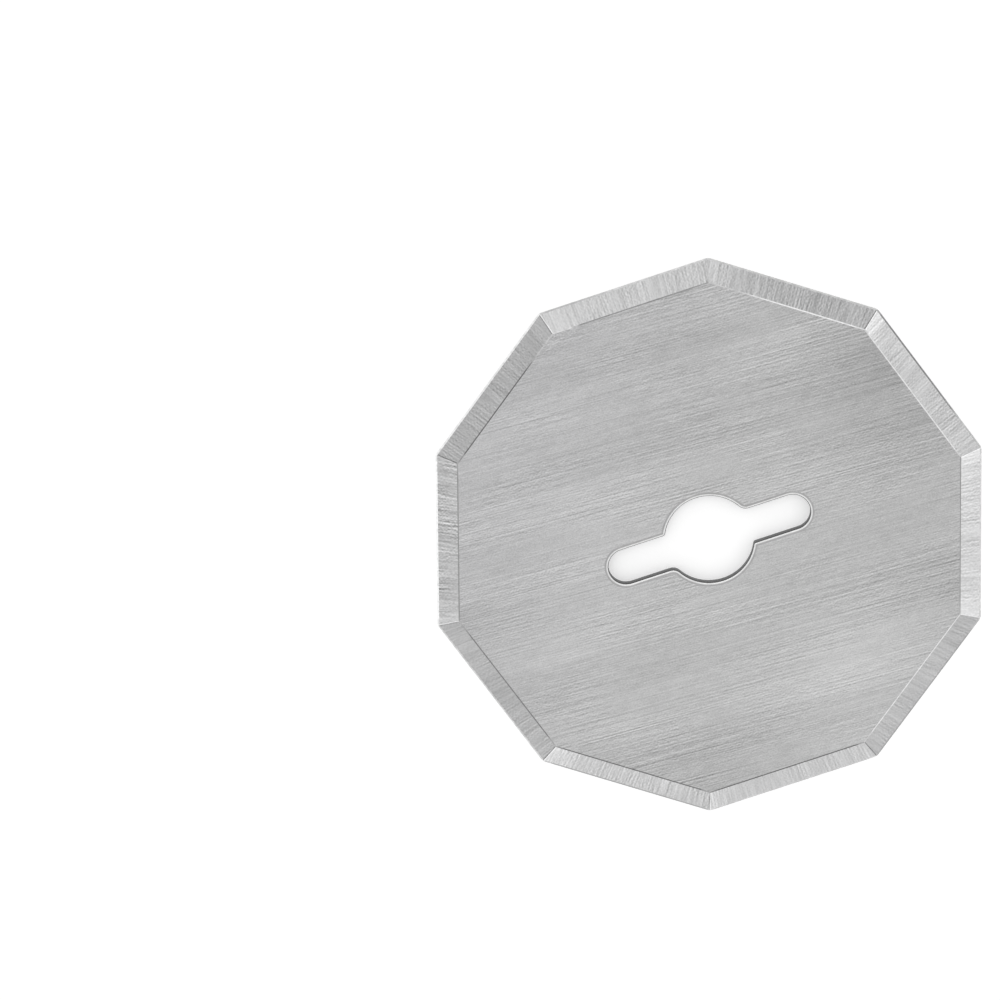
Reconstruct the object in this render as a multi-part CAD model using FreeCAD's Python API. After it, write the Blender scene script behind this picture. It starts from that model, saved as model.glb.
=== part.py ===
import FreeCAD, Part
import math
import os

# Ten-sided rotary cutter blade, ground from one flat strip of hardened steel.
# Millimetres and degrees. The origin is on the bore's axis in the plane of the flat underside,
# +Z points to the bevelled side, and +X runs along the drive slot and through two corners.

# Outline
side_count = 10             # straight cutting edges round the blade
corner_to_corner = 32.0     # over two opposite corners, as rounded
corner_radius = 0.5         # plan rounding where two cutting edges meet
thickness = 0.63            # of the strip

# Ground edge, on the upper side only
bevel_width = 1.2           # from the cutting edge in to the line where the flat face starts
hone_width = 0.08           # narrow second bevel along the cutting edge
hone_angle = 40.0           # of that second bevel, measured from the underside

# Punched hole
bore_diameter = 5.0         # sits on the pilot of the hub
slot_length = 11.8          # drive slot, from end to end through the bore
slot_width = 2.0            # between the drive slot's straight walls
soft_corner_radius = 0.6    # where the bore runs into an arm, ahead of each arm going anticlockwise
tight_corner_radius = 0.15  # where the bore runs into an arm, behind each arm
rim_break = 0.06            # chamfer that takes the burr off the hole, on both faces

# Values worked out from the sizes above
half_step = math.pi / side_count
sharp_radius = corner_to_corner / 2 + corner_radius * (1 / math.cos(half_step) - 1)
apothem = sharp_radius * math.cos(half_step)
hone_height = hone_width * math.tan(math.radians(hone_angle))
overrun = thickness         # how far a cutting tool's solid passes the metal that it cuts
near = thickness / 500      # an edge this close to a place is taken to lie there


def polar(radius, angle):
    return FreeCAD.Vector(radius * math.cos(angle), radius * math.sin(angle), 0)


def outline():
    """Closed plan outline in the underside's plane: straight sides and rounded corners."""
    setback = corner_radius * math.tan(half_step)
    along = math.pi / 2 + half_step
    edges = []
    last_end = None
    first_start = None
    for index in range(side_count):
        angle = 2 * half_step * index
        corner = polar(sharp_radius, angle)
        start = corner + polar(setback, angle - along)
        middle = polar(corner_to_corner / 2, angle)
        end = corner + polar(setback, angle + along)
        if last_end is None:
            first_start = start
        else:
            edges.append(Part.LineSegment(last_end, start).toShape())
        edges.append(Part.Arc(start, middle, end).toShape())
        last_end = end
    edges.append(Part.LineSegment(last_end, first_start).toShape())
    return Part.Wire(edges)


def blank():
    """The decagon as punched, with square sides."""
    return Part.Face(outline()).extrude(FreeCAD.Vector(0, 0, thickness))


def section_point(radius, height):
    """A point of the rim's section, through the middle of the side that faces +X."""
    return FreeCAD.Vector(radius, 0, height)


def grinding_pass(low, high):
    """What the wheel takes off above the line from low to high, repeated on every side of the blade."""
    fall = low - high
    outer = low + fall * (overrun / fall.Length)
    inner = high - fall * (overrun / fall.Length)
    crest = section_point(outer.x, inner.z)
    section = Part.Face(Part.makePolygon([inner, outer, crest, inner]))
    section.translate(FreeCAD.Vector(0, -sharp_radius, 0))
    cutter = section.extrude(FreeCAD.Vector(0, 2 * sharp_radius, 0))
    cutters = []
    for index in range(side_count):
        turned = cutter.copy()
        turned.rotate(FreeCAD.Vector(), FreeCAD.Vector(0, 0, 1), math.degrees(half_step * (2 * index + 1)))
        cutters.append(turned)
    return cutters


def slot_profile(height):
    """Plan of the drive slot: two straight walls closed by full half rounds."""
    half_width = slot_width / 2
    centre = slot_length / 2 - half_width
    right_end = FreeCAD.Vector(slot_length / 2, 0, height)
    left_end = FreeCAD.Vector(-slot_length / 2, 0, height)
    lower_right = FreeCAD.Vector(centre, -half_width, height)
    upper_right = FreeCAD.Vector(centre, half_width, height)
    upper_left = FreeCAD.Vector(-centre, half_width, height)
    lower_left = FreeCAD.Vector(-centre, -half_width, height)
    return Part.Wire([
        Part.LineSegment(lower_left, lower_right).toShape(),
        Part.Arc(lower_right, right_end, upper_right).toShape(),
        Part.LineSegment(upper_right, upper_left).toShape(),
        Part.Arc(upper_left, left_end, lower_left).toShape(),
    ])


def junction_edges(shape, sign):
    """Upright edges where the bore runs into an arm, in the quadrants where x times y has the given sign."""
    across = slot_width / 2
    along = math.sqrt((bore_diameter / 2) ** 2 - across ** 2)
    found = []
    for edge in shape.Edges:
        box = edge.BoundBox
        upright = box.ZLength > thickness and box.XLength + box.YLength < near
        here = edge.CenterOfMass
        at_junction = abs(abs(here.x) - along) + abs(abs(here.y) - across) < near
        if upright and at_junction and here.x * here.y * sign > 0:
            found.append(edge)
    return found


def punch():
    """The punch that makes the hole: pilot bore and drive slot in one, with rounded junctions."""
    length = thickness + 2 * overrun
    bore = Part.makeCylinder(bore_diameter / 2, length, FreeCAD.Vector(0, 0, -overrun))
    slot = Part.Face(slot_profile(-overrun)).extrude(FreeCAD.Vector(0, 0, length))
    tool = bore.fuse(slot).removeSplitter()
    tool = tool.makeFillet(soft_corner_radius, junction_edges(tool, 1))
    return tool.makeFillet(tight_corner_radius, junction_edges(tool, -1))


def rim_edges(shape):
    """Edges of the hole on the upper face and the underside."""
    found = []
    for edge in shape.Edges:
        box = edge.BoundBox
        reach = max(abs(box.XMin), abs(box.XMax), abs(box.YMin), abs(box.YMax))
        if box.ZLength < near and reach < slot_length / 2 + near:
            found.append(edge)
    return found


def blade():
    """Punched, then ground: the main bevel takes nearly the whole thickness, and the hone the last of it."""
    cutting_edge = section_point(apothem, 0)
    hone_top = section_point(apothem - hone_width, hone_height)
    face_line = section_point(apothem - bevel_width, thickness)
    punched = blank().cut(punch())
    eased = punched.makeChamfer(rim_break, rim_edges(punched))
    ground = eased.cut(grinding_pass(hone_top, face_line))
    return ground.cut(grinding_pass(cutting_edge, hone_top)).removeSplitter()


os.makedirs("parts", exist_ok=True)
shape = blade()
solid = shape.Solids[0]
solid.exportStep("parts/blade.step")
box = solid.BoundBox
print("solids", len(shape.Solids), "valid", solid.isValid(), "faces", len(solid.Faces))
print("volume mm3", round(solid.Volume, 2), "box", [round(v, 3) for v in (box.XLength, box.YLength, box.ZLength)])
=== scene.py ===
import bpy
import bmesh
import math
from mathutils import Matrix, Vector


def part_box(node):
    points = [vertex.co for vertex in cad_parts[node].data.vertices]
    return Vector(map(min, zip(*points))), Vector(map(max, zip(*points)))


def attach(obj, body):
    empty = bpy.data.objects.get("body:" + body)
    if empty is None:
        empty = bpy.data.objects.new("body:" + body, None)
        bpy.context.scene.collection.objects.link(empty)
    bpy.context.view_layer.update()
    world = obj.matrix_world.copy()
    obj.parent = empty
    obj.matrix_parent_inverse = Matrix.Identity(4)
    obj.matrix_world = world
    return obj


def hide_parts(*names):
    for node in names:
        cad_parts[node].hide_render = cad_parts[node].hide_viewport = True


# A ten-sided rotary cutter blade lying on a white table, bevelled side up.
# The frame is the part's own, in metres: Z is the bore's axis, X runs along the drive slot.
# Materials work in millimetres. The sides are numbered from -X, anticlockwise.

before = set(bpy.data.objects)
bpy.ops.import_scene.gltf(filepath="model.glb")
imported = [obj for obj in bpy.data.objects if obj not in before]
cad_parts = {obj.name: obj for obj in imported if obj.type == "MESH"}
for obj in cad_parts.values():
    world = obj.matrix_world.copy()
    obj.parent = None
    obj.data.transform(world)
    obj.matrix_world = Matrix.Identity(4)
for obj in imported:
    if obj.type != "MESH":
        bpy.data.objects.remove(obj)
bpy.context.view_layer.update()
mm = 0.001
bladeLow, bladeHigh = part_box("blade")
print("frame loaded, blade box", bladeLow, bladeHigh)


# Small helpers for node trees

def addNode(tree, kind, inputs=None, **settings):
    made = tree.nodes.new(kind)
    for name, value in settings.items():
        setattr(made, name, value)
    for key, value in (inputs or {}).items():
        socket = made.inputs[key]
        if isinstance(value, bpy.types.NodeSocket):
            tree.links.new(value, socket)
        else:
            socket.default_value = value
    return made


def calc(tree, operation, a, b=0.0, c=0.0):
    return addNode(tree, "ShaderNodeMath", {0: a, 1: b, 2: c}, operation=operation).outputs[0]


def mapRange(tree, value, low, high, toLow=0.0, toHigh=1.0, way="LINEAR"):
    made = addNode(tree, "ShaderNodeMapRange", {"Value": value, "From Min": low, "From Max": high,
                                                "To Min": toLow, "To Max": toHigh}, interpolation_type=way)
    return made.outputs["Result"]


def scaled(tree, vector, factor):
    return addNode(tree, "ShaderNodeVectorMath", {0: vector, 3: factor}, operation="SCALE").outputs[0]


def measure(tree, operation, first, second):
    return addNode(tree, "ShaderNodeVectorMath", {0: first, 1: second}, operation=operation).outputs["Value"]


def joinAxes(tree, x, y, z):
    return addNode(tree, "ShaderNodeCombineXYZ", {0: x, 1: y, 2: z}).outputs[0]


def splitAxes(tree, vector):
    return addNode(tree, "ShaderNodeSeparateXYZ", {0: vector}).outputs


def wayTo(azimuth, elevation):
    # unit vector, from degrees round from +X and degrees above the table
    a, e = math.radians(azimuth), math.radians(elevation)
    return Vector((math.cos(e) * math.cos(a), math.cos(e) * math.sin(a), math.sin(e)))


# Camera, set to the photograph's framing: a long lens, fifteen degrees off the blade's axis

cameraSet = {
    "lens": 300.0,
    "aim": (-10.405 * mm, 5.777 * mm, 0.0),   # where the middle of the picture meets the table
    "distance": 465.76 * mm,
    "azimuth": 74.87,                         # of the camera as seen from the aim
    "elevation": 75.23,
    "roll": 176.45,
    "clipStart": 10.0 * mm,
}


def makeCamera(values):
    data = bpy.data.cameras.new("camera")
    data.lens = values["lens"]
    data.clip_start = values["clipStart"]
    camera = bpy.data.objects.new("camera", data)
    bpy.context.scene.collection.objects.link(camera)
    away = wayTo(values["azimuth"], values["elevation"])
    roll = Matrix.Rotation(math.radians(values["roll"]), 3, "Z").to_quaternion()
    turn = away.to_track_quat("Z", "Y") @ roll
    place = Vector(values["aim"]) + away * values["distance"]
    camera.matrix_world = Matrix.Translation(place) @ turn.to_matrix().to_4x4()
    bpy.context.scene.camera = camera


makeCamera(cameraSet)
print("camera set")


# What the steels share: noise in the blade's own coordinates

noiseSet = {
    "shift": (3.1, 7.7, 5.3),     # how far the noise moves in x, y and z for each step of the seed
    "middle": 0.5,                # of the noise's range
    "patchEdge": (0.35, 0.65),    # the noise where a patch starts and where it is full
    "streakSeed": 5,              # seeds of the layers, counted from their material's
    "broadSeed": 9,
    "patchSeed": 20,
    "hairSeed": 30,
}


def startMaterial(name):
    material = bpy.data.materials.new(name)
    material.use_nodes = True
    tree = material.node_tree
    tree.nodes.clear()
    output = addNode(tree, "ShaderNodeOutputMaterial")
    steel = addNode(tree, "ShaderNodeBsdfPrincipled", {"Metallic": 1.0})
    tree.links.new(steel.outputs[0], output.inputs["Surface"])
    place = addNode(tree, "ShaderNodeTexCoord").outputs["Object"]
    return material, tree, steel, scaled(tree, place, 1 / mm)


def setSteel(tree, steel, colour, roughness):
    tree.links.new(colour, steel.inputs["Base Color"])
    steel.inputs["Roughness"].default_value = roughness


def drawOut(tree, steel, amount, way):
    # highlights drawn out along the given way
    steel.inputs["Anisotropic"].default_value = amount
    tree.links.new(way, steel.inputs["Tangent"])


def streak(tree, spot, sizeX, sizeY, seed, detail=0.0, shift=(0, 0, 0)):
    # noise in spots of the given sizes along X and Y
    moveX, moveY, moveZ = noiseSet["shift"]
    offset = (seed * moveX + shift[0] / sizeX, seed * moveY + shift[1] / sizeY, seed * moveZ)
    scale = (1 / sizeX, 1 / sizeY, 1 / max(sizeX, sizeY))
    moved = addNode(tree, "ShaderNodeMapping", {"Vector": spot, "Location": offset, "Scale": scale})
    made = addNode(tree, "ShaderNodeTexNoise", {"Vector": moved.outputs[0], "Scale": 1.0, "Detail": detail})
    return made.outputs[0]


def grain(tree, place, size, amount, seed, detail):
    # a factor round one, in round spots of the given size
    return calc(tree, "MULTIPLY_ADD", streak(tree, place, size, size, seed, detail), amount, 1 - amount / 2)


def grainAndGrooveShade(tree, spot, values, seed):
    # a groove has a lit and a shaded side: the difference between two places a little way apart
    lines = 0.0
    for number, (sizeX, sizeY, strength) in enumerate(values["grooves"]):
        here = streak(tree, spot, sizeX, sizeY, seed + number)
        beside = streak(tree, spot, sizeX, sizeY, seed + number, shift=values["beside"])
        lines = calc(tree, "MULTIPLY_ADD", calc(tree, "SUBTRACT", here, beside), strength, lines)
    sizeX, sizeY, change = values["patches"]
    patch = streak(tree, spot, sizeX, sizeY, seed + noiseSet["patchSeed"])
    patch = mapRange(tree, patch, *noiseSet["patchEdge"], 1 - change, 1 + change)
    total = calc(tree, "MULTIPLY_ADD", lines, patch, 1.0)
    for number, (sizeX, sizeY, strength) in enumerate(values["streaks"]):
        layer = streak(tree, spot, sizeX, sizeY, seed + noiseSet["streakSeed"] + number)
        layer = calc(tree, "SUBTRACT", layer, noiseSet["middle"])
        total = calc(tree, "MULTIPLY_ADD", layer, strength, total)
    return total


def blendColours(tree, share, first, second):
    made = addNode(tree, "ShaderNodeMix", {0: share, 6: (*first, 1), 7: (*second, 1)}, data_type="RGBA")
    return made.outputs[2]


# The flat faces, as the strip was ground

brushSet = {
    "angle": -3.0,                # degrees from the drive slot, the way the lines run
    "steel": (0.582, 0.582, 0.582),
    "tint": (0.59, 0.589, 0.595),   # faint lilac cast
    "castWay": (-0.72, 0.69, 0),    # towards it, and how far off it is full
    "castReach": 14.0,
    "roughness": 0.34,
    "across": 0.7,                # how far a highlight is drawn out across the lines
    "depth": 0.002 * mm,
    "grooves": [                  # length and width of a scratch, strength; its lit and shaded sides are painted
        (14.0, 0.08, 0.22),
        (4.0, 0.07, 0.19),
        (0.6, 0.06, 0.12),
        (0.12, 0.06, 0.22),
    ],
    "beside": (0, 0.08, 0),       # from a scratch's lit side to its shaded side
    "patches": (5.0, 1.8, 0.5),   # length and width of the places where they show more, and how much more
    "streaks": [                  # length and width of a lighter or darker streak, strength
        (60.0, 0.07, 0.05),
        (0.09, 0.06, 0.38),
        (0.3, 0.2, 0.12),
        (0.9, 0.4, 0.12),
        (27.0, 0.9, 0.09),
        (5.0, 3.0, 0.09),
        (30.0, 2.6, 0.22),
    ],
    "hairs": [                    # single long scratches: length, width, how rare, strength
        (14.0, 0.055, 0.64, -0.26),
        (9.0, 0.05, 0.64, 0.24),
        (5.0, 0.05, 0.64, -0.2),
    ],
    "spots": [                    # broad lighter and darker places, a painted sheen and shade across the face: centre, radius, strength
        ((-7.0, 0.0, 0.63), 12.0, 0.11),
        ((13.0, 6.0, 0.63), 9.0, -0.18),
        ((0.0, 8.0, 0.63), 8.0, -0.06),
        ((5.0, -11.0, 0.63), 9.0, 0.19),
        ((3.0, 0.0, 0.63), 9.0, 0.05),
    ],
}


def brushedFace(name, values, seed):
    material, tree, steel, place = startMaterial(name)
    angle = math.radians(values["angle"])
    turned = addNode(tree, "ShaderNodeMapping", {"Vector": place, "Rotation": (0, 0, -angle)}).outputs[0]
    shade = grainAndGrooveShade(tree, turned, values, seed)
    for number, (length, width, rarity, strength) in enumerate(values["hairs"]):
        layer = streak(tree, turned, length, width, seed + noiseSet["hairSeed"] + number)
        shade = calc(tree, "MULTIPLY_ADD", mapRange(tree, layer, rarity, 1.0), strength, shade)
    # broad painted sheen and shade
    for centre, radius, strength in values["spots"]:
        near = mapRange(tree, measure(tree, "DISTANCE", place, centre), radius, 0.0, way="SMOOTHSTEP")
        shade = calc(tree, "MULTIPLY_ADD", near, strength, shade)
    towards = measure(tree, "DOT_PRODUCT", place, values["castWay"])
    cast = mapRange(tree, towards, 0.0, values["castReach"])
    colour = blendColours(tree, cast, values["steel"], values["tint"])
    setSteel(tree, steel, scaled(tree, colour, shade), values["roughness"])
    drawOut(tree, steel, values["across"], joinAxes(tree, -math.sin(angle), math.cos(angle), 0.0))
    length, width, _ = values["grooves"][0]
    fine = streak(tree, turned, length, width, seed)
    bump = addNode(tree, "ShaderNodeBump", {"Strength": 1.0, "Distance": values["depth"], "Height": fine})
    tree.links.new(bump.outputs[0], steel.inputs["Normal"])
    return material


# The ten ground sides

bevelSet = {
    "steel": (0.54, 0.54, 0.542),
    "roughness": 0.3,
    "along": 0.7,                 # how far a highlight is drawn out along the edge
    "fanFrom": 20.0,              # the marks lean towards a point this far behind the bore's axis
    "fanAt": 15.0,                # and have their full width this far out from the axis
    "apart": 37.0,                # between the noise of one side and the next
    "grooves": [                  # width of a mark and its length, strength; its lit and shaded sides are painted
        (0.08, 1.8, 0.26),
        (0.1, 0.6, 0.12),
        (0.06, 0.12, 0.27),
    ],
    "beside": (0.1, 0, 0),
    "patches": (0.9, 2.5, 0.5),
    "streaks": [                  # width and length of a lighter or darker streak, strength
        (0.08, 1.8, 0.29),
        (0.1, 0.6, 0.11),
        (0.16, 3.0, 0.2),
        (0.5, 3.0, 0.13),
        (0.07, 0.12, 0.27),
    ],
    "broad": (3.0, 6.0, 0.28),
    "plain": 0.5,                 # the tone and coarseness that change nothing, in the two lists below
    "ends": [                     # of each side: how much lighter its first and last end are, coarseness
        (0.0, 0.02, 0.38),
        (0.25, 0.0, 0.5),
        (0.17, 0.05, 0.42),
        (0.0, 0.0, 0.38),
        (0.15, 0.15, 0.5),
        (0.0, 0.33, 0.5),
        (0.0, 0.3, 0.62),
        (0.03, 0.15, 0.5),
        (0.0, 0.05, 0.5),
        (0.0, 0.2, 0.8),
    ],
    "mitres": [                   # of each side: tone of the line in its first and last mitre, painted light as a highlight or dark as a shade at each corner, its own tone, painted lighter or darker as the light falls on that side
        (0.3, 0.05, 0.5),
        (0.8, 0.35, 0.49),
        (0.75, 0.5, 0.5),
        (0.05, 0.4, 0.44),
        (0.6, 0.75, 0.58),
        (0.5, 0.85, 0.44),
        (0.0, 0.5, 0.52),
        (0.5, 0.85, 0.57),
        (0.1, 0.05, 0.52),
        (0.6, 0.75, 0.535),
    ],
    "endReach": 2.6,              # along the edge from the corner
    "endPower": 2.0,
    "mitre": (0.07, 0.04),        # from the corner, where the line in the mitre ends and where it is full
    "mitreStrength": 1.2,
}


def roundTheBlade(tree, place, sides):
    # the side, counted from +X, the distances out from the axis and along the edge, and the edge's direction
    x, y, _ = splitAxes(tree, place)
    step = 2 * math.pi / sides
    side = calc(tree, "FLOOR", calc(tree, "DIVIDE", calc(tree, "ARCTAN2", y, x), step))
    middle = calc(tree, "MULTIPLY", calc(tree, "ADD", side, 0.5), step)
    cosine = calc(tree, "COSINE", middle)
    sine = calc(tree, "SINE", middle)
    outward = calc(tree, "MULTIPLY_ADD", x, cosine, calc(tree, "MULTIPLY", y, sine))
    along = calc(tree, "SUBTRACT", calc(tree, "MULTIPLY", y, cosine), calc(tree, "MULTIPLY", x, sine))
    edgeWay = joinAxes(tree, calc(tree, "MULTIPLY", sine, -1.0), cosine, 0.0)
    return side, outward, along, edgeWay


def lookUp(tree, side, rows):
    # the row of a side, as the three channels of a colour
    number = calc(tree, "ADD", side, len(rows) // 2)
    share = calc(tree, "DIVIDE", calc(tree, "ADD", number, 0.5), len(rows))
    made = addNode(tree, "ShaderNodeValToRGB", {0: share})
    ramp = made.color_ramp
    ramp.interpolation = "CONSTANT"
    ramp.elements[1].position = 1 / len(rows)
    for i in range(2, len(rows)):
        ramp.elements.new(i / len(rows))
    for element, row in zip(ramp.elements, rows):
        element.color = (*row, 1)
    return addNode(tree, "ShaderNodeSeparateColor", {0: made.outputs[0]}).outputs


def groundSide(name, values, seed):
    material, tree, steel, place = startMaterial(name)
    sides = len(values["ends"])
    side, outward, along, edgeWay = roundTheBlade(tree, place, sides)
    behind = values["fanFrom"]
    lean = calc(tree, "DIVIDE", along, calc(tree, "ADD", outward, behind))
    fan = calc(tree, "MULTIPLY", lean, behind + values["fanAt"])
    spot = joinAxes(tree, fan, outward, calc(tree, "MULTIPLY", side, values["apart"]))
    shade = grainAndGrooveShade(tree, spot, values, seed)

    # every side has its own coarseness and its own tone, painted lighter or darker as the light falls on it,
    # and broad streaks that are the same for all
    plain = values["plain"]
    ends = lookUp(tree, side, values["ends"])
    mitres = lookUp(tree, side, values["mitres"])
    marks = calc(tree, "SUBTRACT", shade, 1.0)
    coarse = calc(tree, "MULTIPLY", marks, calc(tree, "MULTIPLY", ends[2], 1 / plain))
    shade = calc(tree, "ADD", calc(tree, "ADD", mitres[2], 1 - plain), coarse)
    sizeX, sizeY, strength = values["broad"]
    broad = streak(tree, spot, sizeX, sizeY, seed + noiseSet["broadSeed"])
    broad = calc(tree, "SUBTRACT", broad, noiseSet["middle"])
    shade = calc(tree, "MULTIPLY_ADD", broad, strength, shade)

    # lighter towards some corners, and a fine line in the mitre, its crease painted dark as shade at some
    # corners and light as a highlight at others
    halfLength = calc(tree, "MULTIPLY", outward, math.tan(math.pi / sides))
    for i, operation in enumerate(("ADD", "SUBTRACT")):
        reach = calc(tree, operation, halfLength, along)
        near = calc(tree, "POWER", mapRange(tree, reach, values["endReach"], 0.0), values["endPower"])
        shade = calc(tree, "MULTIPLY_ADD", near, ends[i], shade)
        line = mapRange(tree, reach, *values["mitre"], 0.0, values["mitreStrength"])
        shade = calc(tree, "MULTIPLY_ADD", line, calc(tree, "SUBTRACT", mitres[i], plain), shade)
    setSteel(tree, steel, scaled(tree, values["steel"], shade), values["roughness"])
    drawOut(tree, steel, values["along"], edgeWay)
    return material


# Two narrow strips along every side: the burr where it meets the face, and the cutting edge's own bevel, both
# painted lighter and darker stretch by stretch as highlight and shade

lineSet = {
    "plain": 0.6,                 # tone outside the stretches
    "roughness": 0.3,
    "sides": [                    # of each side: tone over one stretch, a painted highlight where it is above the plain tone and a painted shade where below, and its two ends along the side
        (0.28, 0.05, 0.95),
        (0.22, 0.0, 1.0),
        (0.2, 0.0, 1.0),
        (0.95, 0.0, 1.0),
        (0.42, 0.05, 1.0),
        (0.95, 0.0, 1.0),
        (0.9, 0.03, 0.68),
        (0.26, 0.0, 0.85),
        (0.18, 0.22, 1.0),
        (0.34, 0.0, 1.0),
    ],
}
honeSet = {
    "plain": 0.75,
    "roughness": 0.25,
    # of each side: tone over one stretch, a painted highlight where it is above the plain tone and a painted
    # shade where below, and its two ends along the side
    "sides": [
        (0.7, 0.0, 1.0),
        (0.38, 0.0, 1.0),
        (0.62, 0.0, 1.0),
        (0.45, 0.0, 1.0),
        (0.9, 0.0, 1.0),
        (0.38, 0.3, 1.0),
        (0.75, 0.0, 1.0),
        (0.6, 0.65, 1.0),
        (0.9, 0.0, 1.0),
        (0.98, 0.0, 1.0),
    ],
}
paintedStretchSet = {                       # of both strips: how their painted highlight and shade stretches end, and their grain
    "wanderSize": 0.8,
    "wander": 0.24,               # share of the side by which the ends of a stretch are ragged
    "fade": 0.06,                 # half the share of the side over which a stretch ends
    "grainSize": 0.25,
    "grain": 0.6,
}


def sideLine(name, values, paintedStretch, seed):
    material, tree, steel, place = startMaterial(name)
    sides = len(values["sides"])
    side, outward, along, _ = roundTheBlade(tree, place, sides)
    # each side's painted highlight and shade tone over its stretch, and where that stretch lies along the
    # side
    light, start, end = lookUp(tree, side, values["sides"])
    fromMiddle = calc(tree, "DIVIDE", along, calc(tree, "MULTIPLY", outward, 2 * math.tan(math.pi / sides)))
    share = calc(tree, "ADD", fromMiddle, (1 - paintedStretch["wander"]) / 2)
    ragged = streak(tree, place, paintedStretch["wanderSize"], paintedStretch["wanderSize"], seed, 2.0)
    wander = calc(tree, "MULTIPLY_ADD", ragged, paintedStretch["wander"], share)
    begun = mapRange(tree, calc(tree, "SUBTRACT", wander, start), -paintedStretch["fade"], paintedStretch["fade"])
    going = mapRange(tree, calc(tree, "SUBTRACT", end, wander), -paintedStretch["fade"], paintedStretch["fade"])
    here = calc(tree, "MULTIPLY", begun, going)
    mottle = grain(tree, place, paintedStretch["grainSize"], paintedStretch["grain"], seed + 1, 1.0)
    change = calc(tree, "SUBTRACT", light, values["plain"])
    tone = calc(tree, "MULTIPLY", mottle, calc(tree, "MULTIPLY_ADD", change, here, values["plain"]))
    setSteel(tree, steel, scaled(tree, (1, 1, 1), calc(tree, "MINIMUM", tone, 1.0)), values["roughness"])
    return material


# The hole: its wall, painted dark as shade, its rubbed rim, painted near white as a glint, and the ring drawn
# down round it, painted a little darker as shade

wallSet = {                       # painted dark as shade down in the hole, darkest near the face and a little lighter where it tore
    "smooth": (0.11, 0.11, 0.11),
    "torn": (0.17, 0.17, 0.172),
    "tornEdge": (0.56, 0.66),     # height, with the raggedness added, over which the one turns to the other
    "raggedSize": 0.15,
    "ragged": 0.4,
    "roughness": 0.5,
}
rubbedAndGlintSet = {
    # rubbed steel painted near white, a painted glint round the hole's rim
    "steel": (0.95, 0.95, 0.95),
    "roughness": 0.22,
    "grainSize": 0.3,
    "grain": 0.4,
}
ringSet = {
    # steel painted a little darker than the face, as shade in the ring's shallow dip
    "steel": (0.5, 0.5, 0.5),
    "roughness": 0.34,
    "grainSize": 0.3,
    "grain": 0.4,
}


def punchedWall(name, values, seed):
    material, tree, steel, place = startMaterial(name)
    height = splitAxes(tree, place)[2]
    layer = streak(tree, place, values["raggedSize"], values["raggedSize"], seed, 2.0)
    ragged = calc(tree, "MULTIPLY_ADD", layer, values["ragged"], height)
    colour = blendColours(tree, mapRange(tree, ragged, *values["tornEdge"]), values["torn"], values["smooth"])
    setSteel(tree, steel, colour, values["roughness"])
    return material


def plainSteel(name, values, seed):
    material, tree, steel, place = startMaterial(name)
    shade = grain(tree, place, values["grainSize"], values["grain"], seed, 2.0)
    setSteel(tree, steel, scaled(tree, values["steel"], shade), values["roughness"])
    return material


faceSteel = brushedFace("brushedFace", brushSet, 1)
undersideSteel = brushedFace("brushedUnderside", brushSet, 61)
bevelSteel = groundSide("groundBevel", bevelSet, 11)
honeSteel = sideLine("honedEdge", honeSet, paintedStretchSet, 21)
lipSteel = sideLine("faceLine", lineSet, paintedStretchSet, 31)
wallSteel = punchedWall("punchedWall", wallSet, 41)
rimSteel = plainSteel("punchedRim", rubbedAndGlintSet, 51)
ringSteel = plainSteel("rolledRing", ringSet, 55)
print("materials made")


# The ground rim: one side as a strip of grinding marks, repeated round the blade

rimSet = {
    "Sides": 10,
    "Columns": 300,              # grinding marks along one side
    "Bevel Rows": 6,
    "Corner To Corner": 32.0 * mm,
    "Corner Radius": 0.5 * mm,
    "Thickness": 0.63 * mm,
    "Bevel Width": 1.2 * mm,
    "Hone Width": 0.08 * mm,
    "Hone Height": 0.067 * mm,
    "Line Outer": 0.03 * mm,     # the narrow line at the face, outside and inside the crease there
    "Line Inner": 0.037 * mm,
    "Groove Depth": 0.0013 * mm,
    "Marked Share": 0.999,       # of a side's half length, so all but the columns in the mitres
    "Merge Distance": 0.0005 * mm,
    "Seed": 7,
}


def startGroup(name, values):
    # a Geometry Nodes tree with a named input for each value
    tree = bpy.data.node_groups.new(name, "GeometryNodeTree")
    tree.interface.new_socket(name="Geometry", in_out="INPUT", socket_type="NodeSocketGeometry")
    sockets = {}
    for key, value in values.items():
        kind = "NodeSocketInt" if isinstance(value, int) else "NodeSocketFloat"
        sockets[key] = tree.interface.new_socket(name=key, in_out="INPUT", socket_type=kind).identifier
    tree.interface.new_socket(name="Geometry", in_out="OUTPUT", socket_type="NodeSocketGeometry")
    source = addNode(tree, "NodeGroupInput")
    return tree, sockets, {key: source.outputs[key] for key in values}


def groupToMesh(tree, sockets, values):
    base = bpy.data.objects.new("rimSource", bpy.data.meshes.new("rimSource"))
    bpy.context.scene.collection.objects.link(base)
    modifier = base.modifiers.new(tree.name, "NODES")
    modifier.node_group = tree
    for key, value in values.items():
        modifier[sockets[key]] = value
    bpy.context.view_layer.update()
    evaluated = base.evaluated_get(bpy.context.evaluated_depsgraph_get())
    mesh = bpy.data.meshes.new_from_object(evaluated)
    bpy.data.objects.remove(base)
    while mesh.materials[0] is None:
        mesh.materials.pop(index=0)
    return mesh


def store(tree, geometry, name, value, domain="POINT"):
    inputs = {"Geometry": geometry, "Name": name, "Value": value}
    return addNode(tree, "GeometryNodeStoreNamedAttribute", inputs, domain=domain).outputs[0]


def stored(tree, name):
    return addNode(tree, "GeometryNodeInputNamedAttribute", {"Name": name}).outputs[0]


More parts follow.
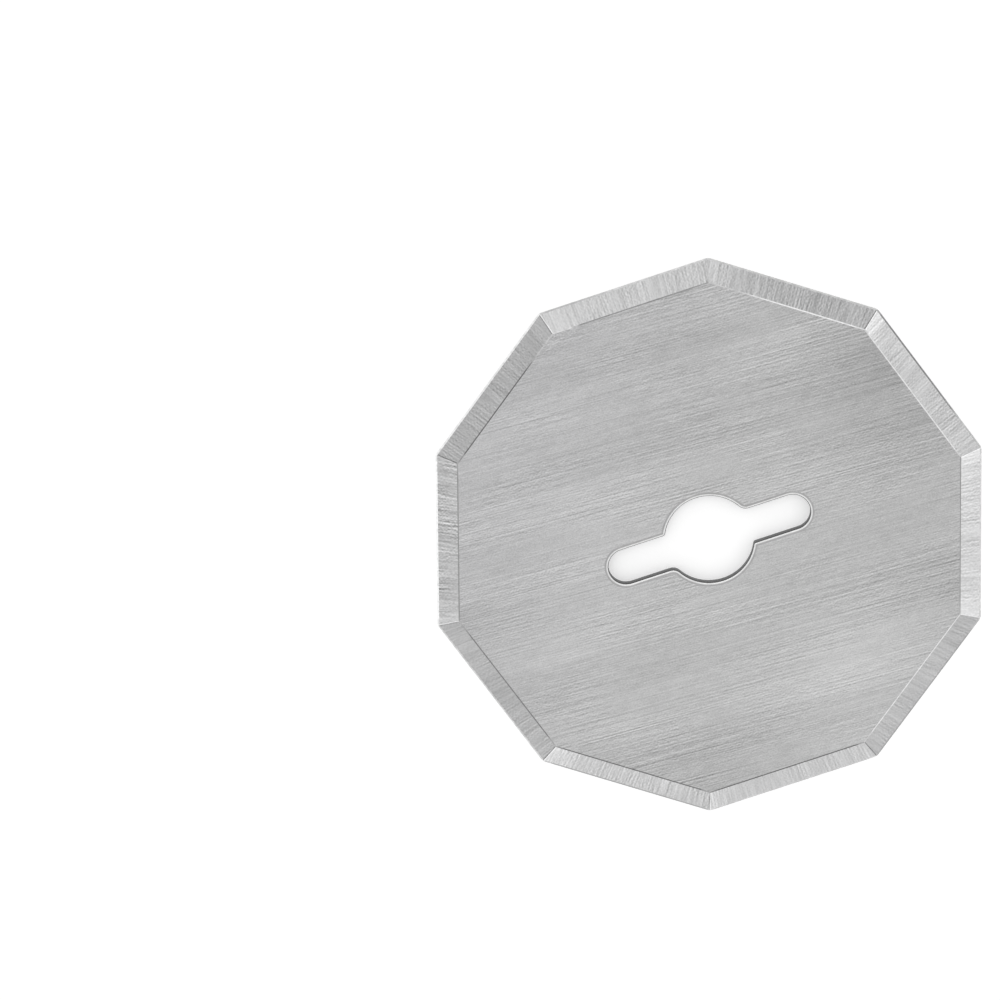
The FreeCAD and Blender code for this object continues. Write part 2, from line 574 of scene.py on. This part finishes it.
def sideSection(tree, given, row, aboveEdge):
    # how far in from the cutting edge a row of points lies, and how high
    bevelTop = calc(tree, "ADD", given["Bevel Rows"], 1.0)
    upBevel = mapRange(tree, row, 1.0, bevelTop)
    onLine = mapRange(tree, row, bevelTop, calc(tree, "ADD", given["Bevel Rows"], 2.0))
    fullWidth = calc(tree, "SUBTRACT", given["Bevel Width"], given["Hone Width"])
    fullRise = calc(tree, "SUBTRACT", given["Thickness"], given["Hone Height"])
    mainWidth = calc(tree, "SUBTRACT", fullWidth, given["Line Outer"])
    mainRise = calc(tree, "MULTIPLY", fullRise, calc(tree, "DIVIDE", mainWidth, fullWidth))
    lineWidth = calc(tree, "ADD", given["Line Outer"], given["Line Inner"])
    inset = calc(tree, "MULTIPLY", aboveEdge, given["Hone Width"])
    inset = calc(tree, "MULTIPLY_ADD", upBevel, mainWidth, inset)
    inset = calc(tree, "MULTIPLY_ADD", onLine, lineWidth, inset)
    height = calc(tree, "MULTIPLY", aboveEdge, given["Hone Height"])
    height = calc(tree, "MULTIPLY_ADD", upBevel, mainRise, height)
    height = calc(tree, "MULTIPLY_ADD", onLine, calc(tree, "SUBTRACT", fullRise, mainRise), height)
    return inset, height


def squared(tree, value):
    return calc(tree, "MULTIPLY", value, value)


def cornerShrink(tree, given, half, halfWidth, apothem, outward, along, aboveEdge):
    # how far a point is drawn in towards the axis: the cutting edge alone is rounded off at the corners
    radius = given["Corner Radius"]
    reach = calc(tree, "SQRT", calc(tree, "ADD", squared(tree, outward), squared(tree, along)))
    offMiddle = calc(tree, "ABSOLUTE", along)
    fromCorner = calc(tree, "SUBTRACT", half, calc(tree, "ARCTAN2", offMiddle, outward))
    roundCentre = calc(tree, "SUBTRACT", halfWidth, radius)
    sideways = calc(tree, "MULTIPLY", roundCentre, calc(tree, "SINE", fromCorner))
    rest = calc(tree, "SUBTRACT", squared(tree, radius), squared(tree, sideways))
    root = calc(tree, "SQRT", calc(tree, "MAXIMUM", rest, 0.0))
    roundReach = calc(tree, "MULTIPLY_ADD", roundCentre, calc(tree, "COSINE", fromCorner), root)
    straight = calc(tree, "MULTIPLY", calc(tree, "TANGENT", half), calc(tree, "SUBTRACT", apothem, radius))
    atCorner = calc(tree, "GREATER_THAN", offMiddle, straight)
    rounded = calc(tree, "MULTIPLY", atCorner, calc(tree, "SUBTRACT", 1.0, aboveEdge))
    shrink = calc(tree, "DIVIDE", calc(tree, "MINIMUM", roundReach, reach), reach)
    return calc(tree, "ADD", calc(tree, "MULTIPLY", rounded, calc(tree, "SUBTRACT", shrink, 1.0)), 1.0)


def makeRim(values):
    tree, sockets, given = startGroup("groundRim", values)
    half = calc(tree, "DIVIDE", math.pi, given["Sides"])
    cosHalf = calc(tree, "COSINE", half)
    radius = given["Corner Radius"]
    roundOff = calc(tree, "SUBTRACT", calc(tree, "DIVIDE", radius, cosHalf), radius)
    halfWidth = calc(tree, "MULTIPLY", given["Corner To Corner"], 0.5)
    apothem = calc(tree, "MULTIPLY", calc(tree, "ADD", halfWidth, roundOff), cosHalf)

    # one side, as columns along the edge and rows from the cutting edge up to the face
    rowCount = calc(tree, "ADD", given["Bevel Rows"], 3)
    columnCount = calc(tree, "ADD", given["Columns"], 1)
    strip = addNode(tree, "GeometryNodeMeshGrid", {"Vertices X": columnCount, "Vertices Y": rowCount})
    index = addNode(tree, "GeometryNodeInputIndex").outputs[0]
    column = calc(tree, "FLOOR", calc(tree, "DIVIDE", index, rowCount))
    row = calc(tree, "SUBTRACT", index, calc(tree, "MULTIPLY", column, rowCount))
    aboveEdge = calc(tree, "MINIMUM", row, 1.0)
    inset, height = sideSection(tree, given, row, aboveEdge)
    outward = calc(tree, "SUBTRACT", apothem, inset)
    doubled = calc(tree, "MULTIPLY", calc(tree, "DIVIDE", column, given["Columns"]), 2.0)
    share = calc(tree, "SUBTRACT", doubled, 1.0)
    along = calc(tree, "MULTIPLY", calc(tree, "MULTIPLY", share, calc(tree, "TANGENT", half)), outward)
    shrink = cornerShrink(tree, given, half, halfWidth, apothem, outward, along, aboveEdge)
    drawnIn = [calc(tree, "MULTIPLY", way, shrink) for way in (outward, along)]
    spot = joinAxes(tree, *drawnIn, height)
    shaped = addNode(tree, "GeometryNodeSetPosition", {"Geometry": strip.outputs["Mesh"], "Position": spot})

    # grinding marks run across the bevel and stop short of the corners and the face
    belowLine = calc(tree, "ADD", given["Bevel Rows"], 0.5)
    ground = calc(tree, "MULTIPLY", aboveEdge, calc(tree, "LESS_THAN", row, belowLine))
    offMitre = calc(tree, "LESS_THAN", calc(tree, "ABSOLUTE", share), given["Marked Share"])
    ground = calc(tree, "MULTIPLY", ground, offMitre)
    marked = store(tree, shaped.outputs[0], "ground", ground)
    marked = store(tree, marked, "column", column)
    faceRow = calc(tree, "FLOORED_MODULO", index, calc(tree, "SUBTRACT", rowCount, 1.0))
    marked = store(tree, marked, "strip", faceRow, domain="FACE")

    # repeated round the blade
    hubs = addNode(tree, "GeometryNodePoints", {"Count": given["Sides"]}).outputs[0]
    turn = calc(tree, "MULTIPLY", calc(tree, "ADD", calc(tree, "MULTIPLY", index, 2.0), 1.0), half)
    spun = addNode(tree, "GeometryNodeInstanceOnPoints", {"Points": hubs, "Instance": marked,
                                                          "Rotation": joinAxes(tree, 0.0, 0.0, turn)})
    real = addNode(tree, "GeometryNodeRealizeInstances", {"Geometry": spun.outputs[0]})

    # each mark is lifted by chance, the same over its whole length
    sideIn = calc(tree, "FLOOR", calc(tree, "DIVIDE", index, calc(tree, "MULTIPLY", rowCount, columnCount)))
    markId = calc(tree, "ADD", calc(tree, "MULTIPLY", sideIn, columnCount), stored(tree, "column"))
    chance = addNode(tree, "FunctionNodeRandomValue", {"Min": -1.0, "Max": 1.0, "ID": markId,
                                                       "Seed": given["Seed"]}, data_type="FLOAT").outputs[1]
    onBevel = calc(tree, "MULTIPLY", chance, stored(tree, "ground"))
    lift = calc(tree, "MULTIPLY", onBevel, given["Groove Depth"])
    grooved = addNode(tree, "GeometryNodeSetPosition", {"Geometry": real.outputs[0],
                                                        "Offset": joinAxes(tree, 0.0, 0.0, lift)})
    closed = addNode(tree, "GeometryNodeMergeByDistance", {"Geometry": grooved.outputs[0],
                                                           "Distance": given["Merge Distance"]})

    # the bevel's steel on all strips, then the hone's on the first and the burr's on the last, both with
    # painted highlight and shade
    painted = closed.outputs[0]
    stripIn = stored(tree, "strip")
    for material, test, limit in ((bevelSteel, "GREATER_THAN", -1.0), (honeSteel, "LESS_THAN", 0.5),
                                  (lipSteel, "GREATER_THAN", belowLine)):
        chosen = calc(tree, test, stripIn, limit)
        painted = addNode(tree, "GeometryNodeSetMaterial", {"Geometry": painted, "Selection": chosen,
                                                            "Material": material}).outputs[0]
    sink = addNode(tree, "NodeGroupOutput")
    tree.links.new(painted, sink.inputs[0])
    return groupToMesh(tree, sockets, values)


rimMesh = makeRim(rimSet)
print("rim made:", len(rimMesh.vertices), "points,", len(rimMesh.polygons), "faces")


# The punched hole and the two flat faces close the rim to one solid

holeSet = {
    "boreRadius": 2.5 * mm,
    "slotHalfLength": 5.9 * mm,
    "slotHalfWidth": 1.0 * mm,
    "softRadius": 0.6 * mm,
    "tightRadius": 0.15 * mm,
    "sharp": 0.004 * mm,         # the least radius of a junction
    "rimBreak": 0.06 * mm,
    "ring": 0.1 * mm,            # ring of metal drawn down a little where the punch entered
    "ringDrop": 0.004 * mm,
    "burnishAndGlint": 0.06 * mm,        # brighter ring inside it, rubbed and painted near white as a glint
    "rollOver": 0.015 * mm,      # drop of that ring
    "roundSteps": 4,
    "tipSteps": 16,
    "junctionSteps": 6,
    "boreSteps": 20,
    "onFace": 0.001 * mm,        # an edge this close to a face's height borders it
    "merge": 0.0002 * mm,
    "smoothBelow": 9.0,          # degrees between faces that are shaded as one surface
}


def arcPoints(centre, radius, start, end, count):
    turns = [start + (end - start) * i / count for i in range(count + 1)]
    return [(centre[0] + radius * math.cos(turn), centre[1] + radius * math.sin(turn)) for turn in turns]


def quarterOutline(values, junction, setBack):
    # from the tip of the arm on +X to the top of the bore on +Y, moved back into the metal
    bore = values["boreRadius"] + setBack
    width = values["slotHalfWidth"] + setBack
    tip = values["slotHalfLength"] - values["slotHalfWidth"]
    # the junction's centre lies in the metal, and past it the two walls meet in a sharp corner
    left = max(junction - setBack, values["sharp"])
    away = bore + left
    rise = width + left
    run = math.sqrt(away * away - rise * rise)
    meet = math.atan2(rise, run)
    points = arcPoints((tip, 0.0), width, 0.0, math.pi / 2, values["tipSteps"])
    points += arcPoints((run, rise), left, -math.pi / 2, -math.pi + meet, values["junctionSteps"])
    return points + arcPoints((0.0, 0.0), bore, meet, math.pi / 2, values["boreSteps"])[1:]


def holeOutline(values, setBack):
    soft = quarterOutline(values, values["softRadius"], setBack)
    tight = quarterOutline(values, values["tightRadius"], setBack)
    first = soft + [(-x, y) for x, y in reversed(tight)][1:-1]
    return first + [(-x, -y) for x, y in first]


def holeSection(values, thickness):
    # set-back and height of the rings of points from face to face, and the steel between each two
    soften = values["rimBreak"]
    steps = values["roundSteps"]
    brightFrom = soften + values["burnishAndGlint"]
    section = [(brightFrom + values["ring"], thickness), (brightFrom, thickness - values["ringDrop"])]
    for i in range(steps + 1):
        angle = math.pi / 2 * i / steps
        height = thickness - values["rollOver"] - soften * (1 - math.cos(angle))
        section.append((soften * (1 - math.sin(angle)), height))
    section += [(setBack, thickness - height) for setBack, height in reversed(section)]
    kinds = ["rolledRing"] + ["punchedRim"] * 2 + ["punchedWall"] * (steps - 1)
    return section, kinds + ["punchedWall"] + kinds[::-1]


def fillFace(shape, height, tolerance, material):
    edges = []
    for edge in shape.edges:
        if edge.is_boundary and all(abs(v.co.z - height) < tolerance for v in edge.verts):
            edges.append(edge)
    filled = bmesh.ops.triangle_fill(shape, use_beauty=True, use_dissolve=False, edges=edges)
    faces = [item for item in filled["geom"] if isinstance(item, bmesh.types.BMFace)]
    for face in faces:
        face.material_index = material
    print("face filled at", height, "from", len(edges), "edges,", len(faces), "faces")


def closeBlade(mesh, values, thickness):
    shape = bmesh.new()
    shape.from_mesh(mesh)
    materials = {m.name: i for i, m in enumerate(mesh.materials)}
    section, kinds = holeSection(values, thickness)
    rings = []
    for setBack, height in section:
        rings.append([shape.verts.new((x, y, height)) for x, y in holeOutline(values, setBack)])
    for above, below, kind in zip(rings, rings[1:], kinds):
        for i in range(len(above)):
            j = (i + 1) % len(above)
            face = shape.faces.new((above[i], above[j], below[j], below[i]))
            face.material_index = materials[kind]
    fillFace(shape, thickness, values["onFace"], materials["brushedFace"])
    fillFace(shape, 0.0, values["onFace"], materials["brushedUnderside"])
    bmesh.ops.remove_doubles(shape, verts=shape.verts, dist=values["merge"])
    bmesh.ops.recalc_face_normals(shape, faces=shape.faces)
    openEdges = [edge for edge in shape.edges if not edge.is_manifold]
    print("open edges", len(openEdges), "volume mm3", shape.calc_volume() / mm ** 3)
    shape.to_mesh(mesh)
    shape.free()
    for face in mesh.polygons:
        face.use_smooth = True
    mesh.set_sharp_from_angle(angle=math.radians(values["smoothBelow"]))


for extra in (faceSteel, undersideSteel, wallSteel, rimSteel, ringSteel):
    rimMesh.materials.append(extra)
closeBlade(rimMesh, holeSet, rimSet["Thickness"])
rimMesh.name = "groundBlade"
blade = bpy.data.objects.new("groundBlade", rimMesh)
bpy.context.scene.collection.objects.link(blade)
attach(blade, "root")
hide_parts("blade")
print("blade closed:", len(rimMesh.polygons), "faces")


# Table

tableSet = {
    "grey": 0.8,
    "glow": 0.35,                # what the camera and reflections see on top of the lit grey
    "halfWidth": 1.5,
    "drop": 0.02 * mm,           # below the blade's underside
}


def makeTable(values):
    material = bpy.data.materials.new("whiteTable")
    material.use_nodes = True
    tree = material.node_tree
    tree.nodes.clear()
    path = addNode(tree, "ShaderNodeLightPath")
    seen = calc(tree, "MAXIMUM", path.outputs["Is Camera Ray"], path.outputs["Is Glossy Ray"])
    seen = calc(tree, "MAXIMUM", seen, path.outputs["Is Transmission Ray"])
    strength = calc(tree, "MULTIPLY", seen, values["glow"])
    grey = values["grey"]
    matte = addNode(tree, "ShaderNodeBsdfDiffuse", {"Color": (grey, grey, grey, 1)})
    glow = addNode(tree, "ShaderNodeEmission", {"Color": (1, 1, 1, 1), "Strength": strength})
    both = addNode(tree, "ShaderNodeAddShader", {0: matte.outputs[0], 1: glow.outputs[0]})
    output = addNode(tree, "ShaderNodeOutputMaterial")
    tree.links.new(both.outputs[0], output.inputs["Surface"])
    size = values["halfWidth"]
    square = ((-size, -size), (size, -size), (size, size), (-size, size))
    corners = [(x, y, -values["drop"]) for x, y in square]
    mesh = bpy.data.meshes.new("table")
    mesh.from_pydata(corners, [], [(0, 1, 2, 3)])
    mesh.materials.append(material)
    table = bpy.data.objects.new("table", mesh)
    bpy.context.scene.collection.objects.link(table)


# Lamps and sky

studioSet = {
    "sky": 0.76,
    "lean": 0.55,                # how much brighter the horizon is on one side than the other
    "leanTowards": 135.0,
    "leanHeight": (0.45, 0.1),   # sine of the elevation where the lean ends and where it is full
    "distance": 0.6,
    "boxes": {                   # azimuth, elevation, half width and half height in degrees, radiance
        "softboxRight": (-18, 37, 37, 7, 0.75),
        "softboxTop": (91, 65, 16, 16, 0.70),
        "softboxLeft": (179, 49, 6, 14, 0.53),
        "softboxFront": (-104, 20, 40, 7, 0.55),
        "softboxLow": (-38, 10, 14, 5, 0.45),
    },
}


def makeSky(values):
    world = bpy.data.worlds.new("studio")
    world.use_nodes = True
    tree = world.node_tree
    way = addNode(tree, "ShaderNodeTexCoord").outputs["Generated"]
    azimuth = math.radians(values["leanTowards"])
    side = measure(tree, "DOT_PRODUCT", way, (math.cos(azimuth), math.sin(azimuth), 0))
    low = mapRange(tree, splitAxes(tree, way)[2], *values["leanHeight"])
    lean = calc(tree, "MULTIPLY", calc(tree, "MULTIPLY", side, low), values["lean"])
    level = calc(tree, "MULTIPLY", calc(tree, "ADD", lean, 1.0), values["sky"])
    back = tree.nodes["Background"]
    back.inputs["Color"].default_value = (1, 1, 1, 1)
    tree.links.new(level, back.inputs["Strength"])
    bpy.context.scene.world = world


def softbox(name, azimuth, elevation, halfWidth, halfHeight, radiance, distance):
    data = bpy.data.lights.new(name, "AREA")
    data.shape = "RECTANGLE"
    data.size = 2 * distance * math.tan(math.radians(halfWidth))
    data.size_y = 2 * distance * math.tan(math.radians(halfHeight))
    data.energy = radiance * math.pi * data.size * data.size_y
    lamp = bpy.data.objects.new(name, data)
    away = wayTo(azimuth, elevation)
    turn = away.to_track_quat("Z", "Y").to_matrix().to_4x4()
    lamp.matrix_world = Matrix.Translation(away * distance) @ turn
    bpy.context.scene.collection.objects.link(lamp)


makeTable(tableSet)
makeSky(studioSet)
for boxName, boxValues in studioSet["boxes"].items():
    softbox(boxName, *boxValues, studioSet["distance"])
bpy.context.scene.view_settings.view_transform = "Standard"
print("stage made")
